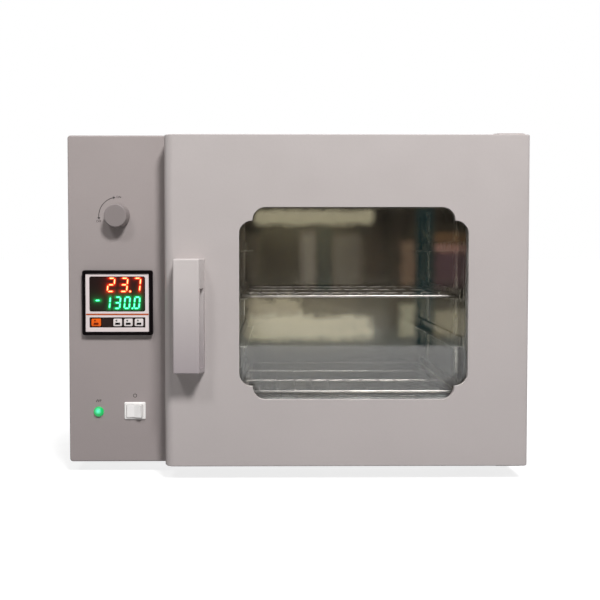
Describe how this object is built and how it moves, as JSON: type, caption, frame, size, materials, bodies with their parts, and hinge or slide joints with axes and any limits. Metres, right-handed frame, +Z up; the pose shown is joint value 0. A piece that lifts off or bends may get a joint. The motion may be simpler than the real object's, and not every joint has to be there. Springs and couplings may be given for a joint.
{
  "type": "bench drying oven",
  "caption": "Bench drying oven: painted cabinet with a left control column, a hinged door with a scalloped window, and a steel chamber with two wire shelves.",
  "frame": {"origin": "middle of the overall box at the level of the feet's undersides", "axes": "+X to the right seen from the front, +Y to the back, +Z up; the door faces -Y"},
  "size_m": [0.594, 0.487, 0.443],
  "materials": {
    "door_paint": "fine powder coat, satin",
    "cabinet_paint": "fine powder coat, satin",
    "grip_paint": "moulded, satin",
    "zinc_sheet": "zinc plated",
    "stainless": "bright stainless sheet",
    "shelf_wire": "polished wire",
    "plated_steel": "plated",
    "bracket_steel": "satin nickel",
    "bush_brass": "turned",
    "glass_wool": "fibrous",
    "silicone": "matte",
    "foot_rubber": "matte",
    "window_glass": "clear",
    "frame_aluminium": "satin",
    "magnet_housing": "moulded",
    "controller_black": "fine grain",
    "controller_face": "satin film",
    "display_dark": "gloss acrylic",
    "key_orange": "satin",
    "key_white": "satin",
    "switch_white": "gloss",
    "lamp_green": "clear tinted",
    "knob_grey": "satin",
    "motor_steel": "plain"
  },
  "bodies": {
    "cabinet": {"outer_casing": "cabinet_paint", "rear_cover": "cabinet_paint", "control_fascia": "cabinet_paint", "front_frame": "cabinet_paint", "base_plate": "zinc_sheet", "partition_panel": "zinc_sheet", "rear_bulkhead": "zinc_sheet", "motor_bracket": "zinc_sheet", "chamber_liner": "stainless", "duct_panel": "stainless", "rack_left": "stainless", "rack_right": "stainless", "intake_duct": "stainless", "exhaust_pipe": "stainless", "temperature_probe": "stainless", "heating_element": "stainless", "foot_screws": "plated_steel", "case_screws": "plated_steel", "hinge_pins": "plated_steel", "hinge_brackets": "bracket_steel", "spindle_bush": "bush_brass", "insulation_jacket": "glass_wool", "door_gasket": "silicone", "rubber_feet": "foot_rubber", "catch_magnet": "magnet_housing", "controller_case": "controller_black", "key_surround": "controller_black", "power_inlet": "controller_black", "terminal_block": "controller_black", "indicator_holder": "controller_black", "controller_faceplate": "controller_face", "display_lens": "display_dark", "display_module": "display_dark", "switch_housing": "switch_white", "indicator_lens": "lamp_green", "fan_motor": "motor_steel", "solid_state_relay": "motor_steel"},
    "door": {"door_shell": "door_paint", "door_inner_panel": "stainless", "door_insulation": "glass_wool", "window_frame": "frame_aluminium", "glass_outer": "window_glass", "glass_inner": "window_glass", "handle_grip": "grip_paint", "handle_screws": "plated_steel", "keeper_plate": "plated_steel", "hinge_blocks": "zinc_sheet", "hinge_bushes": "bush_brass"},
    "vent": {"vent_knob": "knob_grey", "vent_spindle": "plated_steel", "damper_disc": "plated_steel"},
    "rocker": {"switch_rocker": "switch_white"},
    "set_button": {"key_set": "key_orange"},
    "left_button": {"key_left": "key_white"},
    "down_button": {"key_down": "key_white"},
    "up_button": {"key_up": "key_white"},
    "fan": {"fan_wheel": "frame_aluminium", "fan_shaft": "plated_steel"},
    "upper_shelf": {"shelf_upper": "shelf_wire"},
    "lower_shelf": {"shelf_lower": "shelf_wire"}
  },
  "joints": [
    {"name": "door_swing", "type": "hinge", "parent": "cabinet", "child": "door", "pos_m": [0.287, -0.1935, 0.229], "axis": [0, 0, 1], "range_deg": [0, 120]},
    {"name": "vent_turn", "type": "hinge", "parent": "cabinet", "child": "vent", "pos_m": [-0.23, -0.1715, 0.338], "axis": [0, 1, 0], "range_deg": [0, 90]},
    {"name": "power_rocker", "type": "hinge", "parent": "cabinet", "child": "rocker", "pos_m": [-0.2087, -0.1715, 0.0825], "axis": [0, 0, 1], "range_deg": [0, 20]},
    {"name": "set_button_press", "type": "slide", "parent": "cabinet", "child": "set_button", "axis": [0, 1, 0], "range_m": [0, 0.0008], "stiffness_N_per_m": 300},
    {"name": "left_button_press", "type": "slide", "parent": "cabinet", "child": "left_button", "axis": [0, 1, 0], "range_m": [0, 0.0008], "stiffness_N_per_m": 300},
    {"name": "down_button_press", "type": "slide", "parent": "cabinet", "child": "down_button", "axis": [0, 1, 0], "range_m": [0, 0.0008], "stiffness_N_per_m": 300},
    {"name": "up_button_press", "type": "slide", "parent": "cabinet", "child": "up_button", "axis": [0, 1, 0], "range_m": [0, 0.0008], "stiffness_N_per_m": 300},
    {"name": "fan_spin", "type": "hinge", "parent": "cabinet", "child": "fan", "pos_m": [-0.101, -0.02, 0.226], "axis": [1, 0, 0], "continuous": true},
    {"name": "upper_shelf_slide", "type": "slide", "parent": "cabinet", "child": "upper_shelf", "axis": [0, -1, 0], "range_m": [0, 0.02]},
    {"name": "lower_shelf_slide", "type": "slide", "parent": "cabinet", "child": "lower_shelf", "axis": [0, -1, 0], "range_m": [0, 0.02]}
  ]
}
